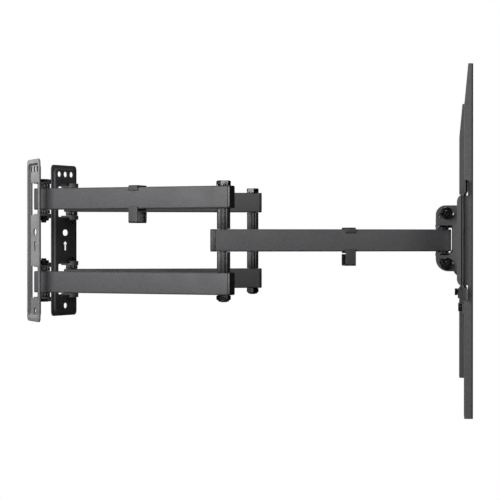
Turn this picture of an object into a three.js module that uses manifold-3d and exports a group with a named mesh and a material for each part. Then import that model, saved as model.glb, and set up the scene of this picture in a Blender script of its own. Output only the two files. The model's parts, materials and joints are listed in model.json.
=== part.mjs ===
// Full motion television wall mount: two wall plates, each with a folding pair of arms, a tilting head,
// a long television plate and two hooked television brackets.
// Millimetres. +X runs from the wall to the television, +Z is up, and Y = 0 is the plane of symmetry.
import * as THREE from 'three';
import { mergeVertices } from 'three/addons/utils/BufferGeometryUtils.js';
import Module from 'manifold-3d';

const wasm = await Module();
wasm.setup();

// ---- driving dimensions ----
const gap = 0.3; // left between pieces that touch
const sides = [['near', -1], ['far', 1]]; // name and sign of Y
const levels = [['upper', 1], ['lower', -1]]; // name and sign of Z

// pivots, all vertical except the tilt
const wallHinge = { x: 15.5, y: 86.3 };
const elbow = { x: 281.1, y: 167.5 };
const headPivot = { x: 570.9, y: 88 };
const tiltAxisX = 590;
const plateTurn = { near: 30.1, far: -23.4 }; // degrees each wall plate is swivelled at rest

// arms
const tubeHeight = 30;
const tubeDepth = 17;
const tubeWall = 1.8;
const tubeCorner = 2;
const firstArmMiddle = 58; // height of each first arm's centre above or below the second arm's
const wallOverhang = 11;
const firstOverhang = 12.8; // past the elbow's axis, with the cap
const secondOverhang = 17;
const headOverhang = 10.5;
const firstCap = 3; // thickness of each moulded cap
const secondCap = 5;

// fasteners: thread radius, and width across flats
const m8 = { r: 4, flats: 13 };
const m10 = { r: 5, flats: 17 };
const boreClearance = 0.35;
const washerRadius = 9;
const washerLobes = 12;

// wall plates
const plateWidth = 63;
const plateHeight = 227;
const plateCorner = 6;
const plateSheet = 2;
const screwHole = { width: 9, height: 8.5, radius: 4.2 };
const middleHole = { width: 14, height: 9, radius: 4.4, z: 11.7 };
const arrowHead = 5.5; // half its width, and its height
const arrowStem = 2.6; // half its width
const arrowLength = 15;
const panelWidth = 52;
const panelHeight = 216;
const panelFront = 4.5;
const hingeStandOff = 15.5; // from the wall to the hinge axis
const earRadius = 10.2;
const earSheet = 2.8;
const earInner = 34.5; // height of the ear nearest the middle
const earOuter = 79.3;
const windowHalfWidth = 18;
const earHold = 1; // each ear's root is let into the edge of its window by this much
const lipHeight = 3.4;
const lipSheet = 2.2;

// head yoke and tilt bracket
const yokeSheet = 2.4;
const yokeWebX = 586;
const yokeHalfWeb = 20.9;
const yokeEarZ = 18.1;
const yokeEarRadius = 9.5;
const yokeCheekRadius = 9.5;
const yokeCheekEnd = 49; // degrees; the cheek's rim stops here, clear of the tilted bracket
const cheekY = 112;
const tiltSheet = 2.5;
const cheekNose = 562.2;
const cheekSpine = 585.1;
const cheekTop = 47.2;
const cheekBottom = -41.7;
const tiltWebX = 593.7;
const tiltBolt = { x: 577.1, upper: 36.4, lower: -31.5 };
const tiltTravel = 10; // degrees of slot each way
const tiltDiscRadius = 8.2;

// television plate
const tvPlateHalf = 322;
const tvPlateX = 594;
const tvPlateSheet = 2.4;
const tvWallHalfZ = 58;
const tvLipHalfZ = 73;
const tvLipFront = 602;
const tvBend = 5; // outer radius of the channel's two back corners
const tvEndStand = 5.2; // the closed ends stand proud of the back by this much
const tvEndRadius = 10;

// television brackets
const bracketY = 300;
const bracketTop = 216.5;
const bracketBottom = -218.5;
const bracketBack = 597.8;
const bracketFront = 608.6;
const bracketHalfWidth = 14.5;
const bracketSheet = 2.2;
const bracketTaper = { depth: 4.6, length: 52 };
const lockZ = -82;
const lockSheet = 2.4;

// cable clips
const clipLength = 14;
const clipWall = 2;
const clipDrop = 17;
const clipRoom = 6.5; // left free behind the arm
const clipAt = { first: 146.6, second: 171.3 }; // along each arm

// ---- finishes ----
const powderCoat = { color: 0x3d3d3e, roughness: 0.55, metalness: 0.1 };
const blackZinc = { color: 0x1a1a1b, roughness: 0.3, metalness: 0.8 };
const blackPlastic = { color: 0x202021, roughness: 0.5, metalness: 0 };

// ---- solids ----
function solid(geometry) {
  const plain = geometry.clone();
  plain.deleteAttribute('normal');
  plain.deleteAttribute('uv');
  const merged = mergeVertices(plain, 1e-4);
  return new wasm.Manifold(new wasm.Mesh({
    numProp: 3,
    vertProperties: new Float32Array(merged.attributes.position.array),
    triVerts: new Uint32Array(merged.index.array),
  }));
}

function unite(parts) {
  return parts.reduce((all, part) => all.add(part));
}

function cut(base, parts) {
  return parts.reduce((left, part) => left.subtract(part), base);
}

function box(x, y, z) {
  const shape = new THREE.BoxGeometry(x[1] - x[0], y[1] - y[0], z[1] - z[0]);
  return solid(shape.translate((x[0] + x[1]) / 2, (y[0] + y[1]) / 2, (z[0] + z[1]) / 2));
}

// a round or many-sided bar along 'x', 'y' or 'z', from one end to the other
function bar(axis, radius, ends, at = [0, 0], segments = 20) {
  const shape = new THREE.CylinderGeometry(radius, radius, ends[1] - ends[0], segments);
  const middle = (ends[0] + ends[1]) / 2;
  if (axis === 'x') return solid(shape.rotateZ(-Math.PI / 2).translate(middle, at[0], at[1]));
  if (axis === 'y') return solid(shape.translate(at[0], middle, at[1]));
  return solid(shape.rotateX(Math.PI / 2).translate(at[0], at[1], middle));
}

function hexBar(axis, flats, ends, at) {
  return bar(axis, flats / Math.sqrt(3), ends, at, 6);
}

// a flat outline pushed along Z
function slab(shape, z) {
  const options = { depth: z[1] - z[0], bevelEnabled: false, curveSegments: 5 };
  return solid(new THREE.ExtrudeGeometry(shape, options).translate(0, 0, z[0]));
}

// a flat outline drawn in Y and Z, pushed along X
function slabX(shape, x) {
  const options = { depth: x[1] - x[0], bevelEnabled: false, curveSegments: 2 };
  const geometry = new THREE.ExtrudeGeometry(shape, options);
  return solid(geometry.rotateX(Math.PI / 2).rotateZ(Math.PI / 2).translate(x[0], 0, 0));
}

// a flat outline drawn in X and Z, pushed along Y
function slabY(shape, y) {
  const options = { depth: y[1] - y[0], bevelEnabled: false, curveSegments: 4 };
  const geometry = new THREE.ExtrudeGeometry(shape, options);
  return solid(geometry.rotateX(Math.PI / 2).translate(0, y[1], 0));
}

// points along an arc, from one angle to another in degrees, either way round
function arc(centre, radius, from, to, steps = 8) {
  const points = [];
  for (let i = 0; i <= steps; i += 1) {
    const angle = THREE.MathUtils.degToRad(from + ((to - from) * i) / steps);
    points.push([centre[0] + radius * Math.cos(angle), centre[1] + radius * Math.sin(angle)]);
  }
  return points;
}

function outline(points) {
  return new THREE.Shape(points.map(([u, v]) => new THREE.Vector2(u, v)));
}

function roundedRectangle(width, height, radius, centre = [0, 0]) {
  const [u, v] = [width / 2 - radius, height / 2 - radius];
  const [left, right] = [centre[0] - u, centre[0] + u];
  const [low, high] = [centre[1] - v, centre[1] + v];
  return outline([
    ...arc([right, high], radius, 0, 90, 4),
    ...arc([left, high], radius, 90, 180, 4),
    ...arc([left, low], radius, 180, 270, 4),
    ...arc([right, low], radius, 270, 360, 4),
  ]);
}

// ---- wall plates ----
function wallPlateEar(z, outward) {
  const root = panelFront - 1;
  const rim = arc([hingeStandOff, 0], earRadius, -90, 90);
  const reach = outline([[root, -earRadius], ...rim, [root, earRadius]]);
  const lip = outline([
    ...arc([hingeStandOff, 0], earRadius, -70, 70),
    ...arc([hingeStandOff, 0], earRadius - lipSheet, 70, -70),
  ]);
  const lipZ = outward > 0 ? [z + earSheet - 0.2, z + earSheet + lipHeight] : [z - lipHeight, z + 0.2];
  const ear = slab(reach, [z, z + earSheet]).add(slab(lip, lipZ));
  return ear.subtract(bar('z', m8.r + boreClearance, [z - 1, z + earSheet + 1], [hingeStandOff, 0]));
}

function wallPlate() {
  const through = [-1, panelFront + 1];
  const rim = slabX(roundedRectangle(plateWidth, plateHeight, plateCorner), [0, plateSheet]);
  const panel = slabX(roundedRectangle(panelWidth, panelHeight, plateCorner), [0, panelFront]);
  const inner = roundedRectangle(panelWidth - 2 * plateSheet, panelHeight - 2 * plateSheet, plateCorner - 2);
  const hollow = slabX(inner, [-1, panelFront - plateSheet]);
  const arrow = outline([
    [0, 0],
    [-arrowHead, -arrowHead],
    [-arrowStem, -arrowHead],
    [-arrowStem, -arrowLength],
    [arrowStem, -arrowLength],
    [arrowStem, -arrowHead],
    [arrowHead, -arrowHead],
  ]);
  const oval = (hole, at) => slabX(roundedRectangle(hole.width, hole.height, hole.radius, at), through);
  const holes = [
    hollow,
    oval(middleHole, [0, middleHole.z]),
    oval(screwHole, [0, -98.5]),
    slabX(arrow, through),
  ];
  for (const y of [-15, 0, 15]) holes.push(oval(screwHole, [y, 99.7]));
  for (const [, up] of levels) {
    const edges = [earInner + earHold, earOuter + earSheet - earHold];
    const z = edges.map((edge) => up * edge).sort((a, b) => a - b);
    holes.push(box(through, [-windowHalfWidth, windowHalfWidth], z));
  }
  const ears = [
    wallPlateEar(earInner, -1),
    wallPlateEar(earOuter, 1),
    wallPlateEar(-earInner - earSheet, 1),
    wallPlateEar(-earOuter - earSheet, -1),
  ];
  return unite([cut(rim.add(panel), holes), ...ears]).translate([-hingeStandOff, 0, 0]);
}

function hingeBolt() {
  const head = hexBar('z', m8.flats, [earOuter + earSheet + gap, 86], [0, 0]);
  return head.add(bar('z', m8.r, [25, 84], [0, 0]));
}

function hingeNut() {
  const nut = hexBar('z', m8.flats, [27.7, earInner - gap], [0, 0]);
  return nut.subtract(bar('z', m8.r + gap, [20, 40], [0, 0]));
}

// a plastic spacer with a lobed rim
function ribbedWasher(z, bolt = m8) {
  const steps = washerLobes * 4;
  const points = [];
  for (let i = 0; i < steps; i += 1) {
    const angle = (i / steps) * Math.PI * 2;
    const r = washerRadius - 0.6 + 0.6 * Math.cos(angle * washerLobes);
    points.push([r * Math.cos(angle), r * Math.sin(angle)]);
  }
  return slab(outline(points), z).subtract(bar('z', bolt.r + gap, [z[0] - 1, z[1] + 1]));
}

// ---- arms ----
function tube(length, bores) {
  const outer = slabX(roundedRectangle(tubeDepth, tubeHeight, tubeCorner), length);
  const inside = roundedRectangle(tubeDepth - 2 * tubeWall, tubeHeight - 2 * tubeWall, 0.6);
  const drills = bores.map(([x, r]) => bar('z', r + boreClearance, [-20, 20], [x, 0]));
  return cut(outer, [slabX(inside, [length[0] - 1, length[1] + 1]), ...drills]);
}

// the plug is at the tube's end at x, and points back along way
function endCap(x, way, thickness) {
  const face = [x, x + way * thickness].sort((a, b) => a - b);
  const plugEnds = [x - way * 4.5, x + way * 0.5].sort((a, b) => a - b);
  const plugDepth = tubeDepth - 2 * tubeWall - 2 * gap;
  const plugHeight = tubeHeight - 2 * tubeWall - 2 * gap;
  const plug = slabX(roundedRectangle(plugDepth, plugHeight, 1.2), plugEnds);
  return slabX(roundedRectangle(tubeDepth, tubeHeight, tubeCorner), face).add(plug);
}

function elbowBolt() {
  const top = firstArmMiddle + tubeHeight / 2 + gap;
  return hexBar('z', m10.flats, [top, top + 6.6], [0, 0]).add(bar('z', m10.r, [-82.5, top + 2], [0, 0]));
}

function elbowNut() {
  const top = -firstArmMiddle - tubeHeight / 2 - gap;
  const nut = hexBar('z', m10.flats, [top - 6.5, top], [0, 0]).add(bar('z', 7.6, [top - 8.4, top - 6], [0, 0]));
  return nut.subtract(bar('z', m10.r + gap, [-90, -60], [0, 0]));
}

// wraps an arm, with a slit in front, and holds a cable loop below it, with its mouth behind
function cableClip() {
  const y = tubeDepth / 2 + gap;
  const z = tubeHeight / 2 + gap;
  const x = [-clipLength / 2, clipLength / 2];
  const bottom = -z - clipWall - clipDrop;
  const shell = box(x, [-y - clipWall, y + clipRoom + clipWall], [bottom, z + clipWall]);
  return cut(shell, [
    box([-20, 20], [-y, y + clipRoom], [-z, z]),
    box([-20, 20], [-y, y + clipRoom], [bottom + clipWall, -z - clipWall]),
    box([-20, 20], [-y - 9, -y + 1], [-z + 3.5, z - 6]),
    box([-20, 20], [y + 4, y + clipRoom + 9], [-z - clipWall - 1.2, -z - clipWall]),
  ]);
}

// ---- head ----
function yokeEar(side, z) {
  const y = side * headPivot.y;
  const shape = outline([
    [yokeWebX + 0.5, y - 17],
    [yokeWebX + 0.5, y + 17],
    ...arc([headPivot.x, y], yokeEarRadius, 90, 270),
  ]);
  const bore = bar('z', m8.r + boreClearance, [z - 1, z + 4], [headPivot.x, y]);
  return slab(shape, [z, z + earSheet]).subtract(bore);
}

function yokeCheek(side, up) {
  const y = [cheekY - yokeSheet - gap, cheekY - gap].map((edge) => edge * side).sort((a, b) => a - b);
  const z = up > 0 ? tiltBolt.upper : tiltBolt.lower;
  const foot = up * (yokeHalfWeb - 0.4);
  const rim = arc([tiltBolt.x, z], yokeCheekRadius, 180, 180 - up * (180 - yokeCheekEnd));
  const points = [
    [tiltBolt.x - yokeCheekRadius, up * yokeEarZ],
    ...rim,
    [rim.at(-1)[0], foot],
    [yokeWebX + 1, foot],
    [yokeWebX + 1, up * yokeEarZ],
  ];
  const shape = outline(up > 0 ? points.reverse() : points);
  return slabY(shape, y).subtract(bar('y', m8.r + boreClearance, [y[0] - 1, y[1] + 1], [tiltBolt.x, z]));
}

function headYoke() {
  const half = cheekY - gap;
  const web = box([yokeWebX, yokeWebX + yokeSheet], [-half, half], [-yokeHalfWeb, yokeHalfWeb]);
  const parts = [web];
  for (const [, side] of sides) {
    for (const [, up] of levels) {
      parts.push(yokeEar(side, up > 0 ? yokeEarZ : -yokeEarZ - earSheet));
      parts.push(yokeCheek(side, up));
      const shelf = [up * yokeEarZ, up * (yokeEarZ + earSheet)].sort((a, b) => a - b);
      const y = [side * (headPivot.y + 6), side * half].sort((a, b) => a - b);
      parts.push(box([tiltBolt.x - yokeCheekRadius, yokeWebX + 0.5], y, shelf));
    }
  }
  const through = [yokeWebX - 5, yokeWebX + 5];
  const slots = [-40, 0, 40].map((y) => slabX(roundedRectangle(22, 9, 4.4, [y, 0]), through));
  return cut(unite(parts), slots);
}

function headBolt() {
  const ear = yokeEarZ + earSheet + gap;
  return unite([
    hexBar('z', m8.flats, [ear, ear + 4.6], [0, 0]),
    bar('z', m8.r, [-ear - 8, ear + 2]),
    hexBar('z', m8.flats, [-ear - 6.4, -ear], [0, 0]),
  ]);
}

// a slot that follows the tilt: centred on the tilt axis and running through the bolt
function arcSlot(z, y) {
  const reach = Math.hypot(tiltAxisX - tiltBolt.x, z);
  const middle = THREE.MathUtils.radToDeg(Math.atan2(z, tiltBolt.x - tiltAxisX));
  const half = m8.r + boreClearance;
  const [low, high] = [middle - tiltTravel, middle + tiltTravel];
  const end = (angle) => arc([tiltAxisX, 0], reach, angle, angle, 1)[0];
  const shape = outline([
    ...arc([tiltAxisX, 0], reach + half, low, high, 6),
    ...arc(end(high), half, high, high + 180, 6).slice(1, -1),
    ...arc([tiltAxisX, 0], reach - half, high, low, 6),
    ...arc(end(low), half, low + 180, low + 360, 6).slice(1, -1),
  ]);
  return slabY(shape, y);
}

// the side cheek is a C, open towards the wall, that the second arm swings through
function tiltCheek(side) {
  const y = [cheekY, cheekY + tiltSheet].map((edge) => edge * side).sort((a, b) => a - b);
  const shape = outline([
    [tiltWebX, cheekTop],
    ...arc([cheekNose + 13, cheekTop - 13], 13, 90, 180),
    [cheekNose, 20],
    ...arc([cheekSpine - 3, 17], 3, 90, 0, 4),
    ...arc([cheekSpine - 8, -11.8], 8, 0, -90, 4),
    [cheekNose, -19.8],
    ...arc([cheekNose + 17, cheekBottom + 17], 17, 180, 270),
    [tiltWebX, cheekBottom],
  ]);
  const wide = [y[0] - 1, y[1] + 1];
  return cut(slabY(shape, y), [arcSlot(tiltBolt.upper, wide), arcSlot(tiltBolt.lower, wide)]);
}

function tiltBracket() {
  const half = cheekY + 1;
  const x = [tiltWebX - 2.2, tiltWebX];
  return unite([
    tiltCheek(-1),
    tiltCheek(1),
    box(x, [-half, half], [25, cheekTop]),
    box(x, [-half, half], [cheekBottom, -25]),
  ]);
}

// runs through the yoke's cheek and the tilt bracket's slot, with a nut and broad washer outside
function tiltBoltPiece(side) {
  const along = (from, to) => [side * from, side * to].sort((a, b) => a - b);
  const inside = cheekY - yokeSheet - 2 * gap;
  const outside = cheekY + tiltSheet + gap;
  return unite([
    bar('y', 7.2, along(inside - 4.4, inside)),
    bar('y', m8.r, along(inside - 1, outside + 10)),
    bar('y', tiltDiscRadius, along(outside, outside + 1.6)),
    hexBar('y', m8.flats, along(outside + 1, outside + 8), [0, 0]),
  ]);
}

// ---- television plate and brackets ----
// points round one back corner of the plate, inset from its outside
function tvCorner(up, inset, from, to) {
  const radius = tvBend - inset;
  return arc([tvPlateX + tvBend, up * (tvWallHalfZ - tvBend)], radius, from, to, 6);
}

function tvChannel() {
  return outline([
    [tvLipFront, tvWallHalfZ],
    ...tvCorner(1, 0, 90, 180),
    ...tvCorner(-1, 0, 180, 270),
    [tvLipFront, -tvWallHalfZ],
    [tvLipFront, tvPlateSheet - tvWallHalfZ],
    ...tvCorner(-1, tvPlateSheet, 270, 180),
    ...tvCorner(1, tvPlateSheet, 180, 90),
    [tvLipFront, tvWallHalfZ - tvPlateSheet],
  ]);
}

// closes an end of the plate and stands proud of its back, with round corners
function tvEndWall() {
  const x = tvPlateX - tvEndStand + tvEndRadius;
  const z = tvWallHalfZ - 1 - tvEndRadius;
  return outline([...arc([x, z], tvEndRadius, 110, 180), ...arc([x, -z], tvEndRadius, 180, 250)]);
}

function tvPlate() {
  const y = [-tvPlateHalf, tvPlateHalf];
  const through = [tvPlateX - 5, tvPlateX + 5];
  const parts = [slabY(tvChannel(), y)];
  for (const [, up] of levels) {
    const edge = (a, b) => [up * a, up * b].sort((p, q) => p - q);
    parts.push(box([tvLipFront - tvPlateSheet, tvLipFront], y, edge(tvWallHalfZ - 1, tvLipHalfZ)));
  }
  for (const [, side] of sides) {
    const end = [side * (tvPlateHalf - tvPlateSheet), side * tvPlateHalf].sort((a, b) => a - b);
    parts.push(slabY(tvEndWall(), end));
  }
  const holes = [];
  for (const y0 of [-265, -205, 205, 265]) {
    for (const z of [-28, 28]) holes.push(slabX(roundedRectangle(36, 9, 4.4, [y0, z]), through));
  }
  for (const y0 of [-150, 150]) holes.push(slabX(roundedRectangle(46, 60, 8, [y0, 0]), through));
  return cut(unite(parts), holes);
}

// side flange outline: tapered at the top, notched where it hooks over the plate's two lips
function bracketFlange() {
  const notchFront = tvLipFront + 0.6;
  const lip = (tvWallHalfZ - tvPlateSheet + tvLipHalfZ) / 2;
  const half = tvLipHalfZ - lip + 2 * gap;
  const mouth = (z) => [
    [bracketBack, z + half],
    [notchFront, z + half],
    [notchFront, z - half],
    [bracketBack, z - half],
  ];
  return outline([
    [bracketFront, bracketBottom],
    [bracketFront, bracketTop],
    [bracketBack + bracketTaper.depth, bracketTop],
    [bracketBack, bracketTop - bracketTaper.length],
    ...mouth(lip),
    ...mouth(-lip),
    [bracketBack, bracketBottom],
  ].reverse());
}

function tvBracket() {
  const face = [bracketFront - bracketSheet, bracketFront];
  const through = [bracketFront - 5, bracketFront + 5];
  const width = [-bracketHalfWidth, bracketHalfWidth];
  const parts = [box(face, width, [bracketBottom, bracketTop])];
  for (const [, side] of sides) {
    const y = [side * (bracketHalfWidth - bracketSheet), side * bracketHalfWidth].sort((a, b) => a - b);
    parts.push(slabY(bracketFlange(), y));
  }
  const holes = [];
  for (const z of [-200, -100, 100, 200]) holes.push(bar('x', 4.3, through, [0, z]));
  for (const z of [-150, -50, 0, 50, 150]) {
    holes.push(slabX(roundedRectangle(8.6, 30, 4.2, [0, z]), through));
  }
  return cut(unite(parts), holes);
}

function lockTab() {
  const reach = bracketHalfWidth - bracketSheet - gap;
  const x = [bracketBack - 2.2, bracketBack + 0.2];
  const z = [lockZ - 10, lockZ + 5.5];
  const foot = box([x[1] - 0.2, bracketFront - bracketSheet - gap], [-reach, reach], [z[0], z[0] + lockSheet]);
  return box(x, [-reach, reach], z).add(foot).subtract(bar('x', 3.3, [x[0] - 1, x[1] + 1], [0, lockZ]));
}

function lockScrew() {
  const top = bracketBack - 2.5;
  return bar('x', 5.4, [top - 4.7, top], [0, lockZ]).add(bar('x', 3, [top - 1, top + 10], [0, lockZ]));
}

// ---- assembly ----
const mount = new THREE.Group();

function piece(parent, name, body, finish, at = [0, 0, 0]) {
  const { numProp, vertProperties, triVerts } = body.getMesh();
  const geometry = new THREE.BufferGeometry();
  const positions = new Float32Array((vertProperties.length / numProp) * 3);
  for (let i = 0; i < positions.length / 3; i += 1) {
    positions.set(vertProperties.slice(i * numProp, i * numProp + 3), i * 3);
  }
  geometry.setAttribute('position', new THREE.BufferAttribute(positions, 3));
  geometry.setIndex(new THREE.BufferAttribute(new Uint32Array(triVerts), 1));
  const mesh = new THREE.Mesh(geometry, new THREE.MeshStandardMaterial(finish));
  mesh.name = name;
  mesh.position.set(...at);
  parent.add(mesh);
  return mesh;
}

// a group standing on a pivot and turned so that its own +X follows the arm
function pivotGroup(from, to, side) {
  const group = new THREE.Group();
  group.position.set(from.x, side * from.y, 0);
  group.rotation.z = Math.atan2(side * (to.y - from.y), to.x - from.x);
  mount.add(group);
  return group;
}

const firstLength = Math.hypot(elbow.x - wallHinge.x, elbow.y - wallHinge.y);
const secondLength = Math.hypot(headPivot.x - elbow.x, headPivot.y - elbow.y);

function addWallPlate(name, side) {
  const group = new THREE.Group();
  group.position.set(wallHinge.x, side * wallHinge.y, 0);
  group.rotation.z = THREE.MathUtils.degToRad(plateTurn[name]);
  mount.add(group);
  piece(group, `wall_plate_${name}`, wallPlate(), powderCoat);
  for (const [level, up] of levels) {
    const flip = (body) => (up > 0 ? body : body.rotate([180, 0, 0]));
    const tag = `${name}_${level}`;
    piece(group, `hinge_bolt_${tag}`, flip(hingeBolt()), blackZinc);
    piece(group, `hinge_nut_${tag}`, flip(hingeNut()), blackZinc);
    const outer = [firstArmMiddle + tubeHeight / 2 + gap, earOuter - gap];
    const inner = [earInner + earSheet + gap, firstArmMiddle - tubeHeight / 2 - gap];
    piece(group, `hinge_washer_${tag}_outer`, flip(ribbedWasher(outer)), blackPlastic);
    piece(group, `hinge_washer_${tag}_inner`, flip(ribbedWasher(inner)), blackPlastic);
  }
}

function addFirstArms(name, side) {
  const group = pivotGroup(wallHinge, elbow, side);
  const tubeEnd = firstLength + firstOverhang - firstCap - gap;
  for (const [level, up] of levels) {
    const at = [0, 0, up * firstArmMiddle];
    const arm = tube([-wallOverhang, tubeEnd], [[0, m8.r], [firstLength, m10.r]]);
    piece(group, `first_arm_${name}_${level}`, arm, powderCoat, at);
    piece(group, `first_arm_cap_${name}_${level}`, endCap(tubeEnd + gap, 1, firstCap), blackPlastic, at);
    const sleeve = ribbedWasher([tubeHeight / 2 + gap, firstArmMiddle - tubeHeight / 2 - gap], m10);
    const spacer = up > 0 ? sleeve : sleeve.rotate([180, 0, 0]);
    piece(group, `elbow_spacer_${name}_${level}`, spacer, blackPlastic, [firstLength, 0, 0]);
  }
  piece(group, `elbow_bolt_${name}`, elbowBolt(), blackZinc, [firstLength, 0, 0]);
  piece(group, `elbow_nut_${name}`, elbowNut(), blackZinc, [firstLength, 0, 0]);
  if (name === 'near') {
    piece(group, 'cable_clip_first', cableClip(), blackPlastic, [clipAt.first, 0, firstArmMiddle]);
  }
}

function addSecondArm(name, side) {
  const group = pivotGroup(elbow, headPivot, side);
  const tubeStart = -secondOverhang + secondCap + gap;
  const arm = tube([tubeStart, secondLength + headOverhang], [[0, m10.r], [secondLength, m8.r]]);
  piece(group, `second_arm_${name}`, arm, powderCoat);
  piece(group, `second_arm_cap_${name}`, endCap(tubeStart - gap, -1, secondCap), blackPlastic);
  if (name === 'near') piece(group, 'cable_clip_second', cableClip(), blackPlastic, [clipAt.second, 0, 0]);
}

function addHead() {
  piece(mount, 'head_yoke', headYoke(), powderCoat);
  piece(mount, 'tilt_bracket', tiltBracket(), powderCoat);
  for (const [name, side] of sides) {
    const pivot = [headPivot.x, side * headPivot.y, 0];
    piece(mount, `head_bolt_${name}`, headBolt(), blackZinc, pivot);
    for (const [level, up] of levels) {
      const z = [tubeHeight / 2 + gap, yokeEarZ - gap];
      const washer = up > 0 ? ribbedWasher(z) : ribbedWasher(z).rotate([180, 0, 0]);
      piece(mount, `head_washer_${name}_${level}`, washer, blackPlastic, pivot);
      const at = [tiltBolt.x, 0, tiltBolt[level]];
      piece(mount, `tilt_bolt_${name}_${level}`, tiltBoltPiece(side), blackZinc, at);
    }
  }
}

function addTvSide() {
  piece(mount, 'tv_plate', tvPlate(), powderCoat);
  for (const [name, side] of sides) {
    const at = [0, side * bracketY, 0];
    piece(mount, `tv_bracket_${name}`, tvBracket(), powderCoat, at);
    piece(mount, `lock_tab_${name}`, lockTab(), powderCoat, at);
    piece(mount, `lock_screw_${name}`, lockScrew(), blackZinc, at);
  }
}

for (const [name, side] of sides) {
  addWallPlate(name, side);
  addFirstArms(name, side);
  addSecondArm(name, side);
}
addHead();
addTvSide();

export default mount;
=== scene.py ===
"""A full motion television wall mount in black steel, drawn out from its two wall plates."""

import json
import math

import bmesh
import bpy
from mathutils import Matrix, Vector


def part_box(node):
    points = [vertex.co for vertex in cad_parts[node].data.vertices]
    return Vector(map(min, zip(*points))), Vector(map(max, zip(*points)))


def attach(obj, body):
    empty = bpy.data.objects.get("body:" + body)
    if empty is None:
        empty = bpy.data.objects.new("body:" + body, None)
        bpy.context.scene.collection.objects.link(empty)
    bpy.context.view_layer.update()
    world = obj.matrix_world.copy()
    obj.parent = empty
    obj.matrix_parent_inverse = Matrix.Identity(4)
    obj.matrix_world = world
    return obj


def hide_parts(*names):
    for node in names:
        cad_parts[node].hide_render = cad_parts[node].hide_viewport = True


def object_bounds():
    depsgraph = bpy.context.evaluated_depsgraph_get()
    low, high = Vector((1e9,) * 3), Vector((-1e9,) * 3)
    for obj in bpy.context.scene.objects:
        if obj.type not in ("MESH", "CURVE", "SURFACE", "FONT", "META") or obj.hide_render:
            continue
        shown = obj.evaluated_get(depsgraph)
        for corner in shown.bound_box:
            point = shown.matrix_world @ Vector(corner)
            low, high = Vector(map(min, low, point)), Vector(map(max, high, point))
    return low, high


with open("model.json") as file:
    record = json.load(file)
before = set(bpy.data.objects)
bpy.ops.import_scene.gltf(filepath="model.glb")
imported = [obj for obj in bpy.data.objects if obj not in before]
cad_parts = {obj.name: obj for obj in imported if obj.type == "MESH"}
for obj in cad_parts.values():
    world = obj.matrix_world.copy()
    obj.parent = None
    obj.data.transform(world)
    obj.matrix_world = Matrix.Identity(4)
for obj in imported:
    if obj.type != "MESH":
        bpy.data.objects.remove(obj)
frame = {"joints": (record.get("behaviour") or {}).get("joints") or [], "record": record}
cad_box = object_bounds()

# ---- Wall plates ----
# Two plates of 2 mm steel, pressed in a die: a flat rim lies on the wall and a panel stands proud of it.
# Screw holes, an arrow and two windows are punched, and four ears are folded out of the windows to hold
# the hinge bolts. Powder coated after pressing.

MM = 0.001
GAP = 0.3  # millimetres left between pieces that touch
SIDES = {"near": -1, "far": 1}
LEVELS = {"upper": 1, "lower": -1}
link = bpy.context.scene.collection.objects.link
pins = {j["name"]: Vector(j["pos_m"]) for j in frame["joints"] if "pos_m" in j}
mounts = {m["name"]: m for m in frame["record"]["mounts"]}


def srgb(code):
    """The linear colour of an sRGB hex value."""
    parts = [int(code[i : i + 2], 16) / 255 for i in (0, 2, 4)]
    linear = [c / 12.92 if c <= 0.04045 else ((c + 0.055) / 1.055) ** 2.4 for c in parts]
    return (*linear, 1.0)


def add(tree, kind, settings, links):
    """Adds a node, with its settings by property or socket name and its links by socket name."""
    node = tree.nodes.new(kind)
    for key, value in settings.items():
        if isinstance(key, str) and hasattr(node, key):
            setattr(node, key, value)
        else:
            node.inputs[key].default_value = value
    for key, socket in links.items():
        tree.links.new(socket, node.inputs[key])
    return node


def start_material(name):
    """A new empty material, its node tree and its Object coordinates."""
    material = bpy.data.materials.new(name)
    material.use_nodes = True
    tree = material.node_tree
    tree.nodes.clear()
    coords = add(tree, "ShaderNodeTexCoord", {}, {})
    return material, tree, coords.outputs["Object"]


# Polyester powder coat, sprayed and baked: a satin black skin with a fine sandy grain that breaks up the
# highlights. The real grain is about 0.4 mm across, and it is drawn at 1.6 mm so that it shows.
GRAIN = 1.6 * MM
CLOUD = 45 * MM
powder_coat, tree, place = start_material("black_powder_coat_on_steel")
sandy = {"Scale": 1 / GRAIN, "Detail": 3.0, "Roughness": 0.6}
grain = add(tree, "ShaderNodeTexNoise", sandy, {"Vector": place})
cloud = add(tree, "ShaderNodeTexNoise", {"Scale": 1 / CLOUD, "Detail": 2.0}, {"Vector": place})
tint = add(tree, "ShaderNodeValToRGB", {}, {"Fac": grain.outputs["Fac"]})
tint.color_ramp.elements[0].position = 0.3
tint.color_ramp.elements[0].color = srgb("38383a")
tint.color_ramp.elements[1].position = 0.7
tint.color_ramp.elements[1].color = srgb("4c4c4e")
gloss = add(
    tree,
    "ShaderNodeMapRange",
    {"From Min": 0.3, "From Max": 0.7, "To Min": 0.46, "To Max": 0.58},
    {"Value": cloud.outputs["Fac"]},
)
bumps = {"Strength": 0.28, "Distance": 0.12 * MM}
relief = add(tree, "ShaderNodeBump", bumps, {"Height": grain.outputs["Fac"]})
skin = add(
    tree,
    "ShaderNodeBsdfPrincipled",
    {"IOR": 1.5, "Metallic": 0.0},
    {
        "Base Color": tint.outputs["Color"],
        "Roughness": gloss.outputs["Result"],
        "Normal": relief.outputs["Normal"],
    },
)
add(tree, "ShaderNodeOutputMaterial", {}, {"Surface": skin.outputs["BSDF"]})


def arc(centre, radius, start, stop, steps=10):
    """Points along an arc, from one angle to another in degrees, either way round."""
    points = []
    for i in range(steps + 1):
        angle = math.radians(start + (stop - start) * i / steps)
        points.append((centre[0] + radius * math.cos(angle), centre[1] + radius * math.sin(angle)))
    return points


def ring(centre, radius, steps=40):
    """A round outline."""
    return arc(centre, radius, 0, 360 - 360 / steps, steps - 1)


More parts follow.
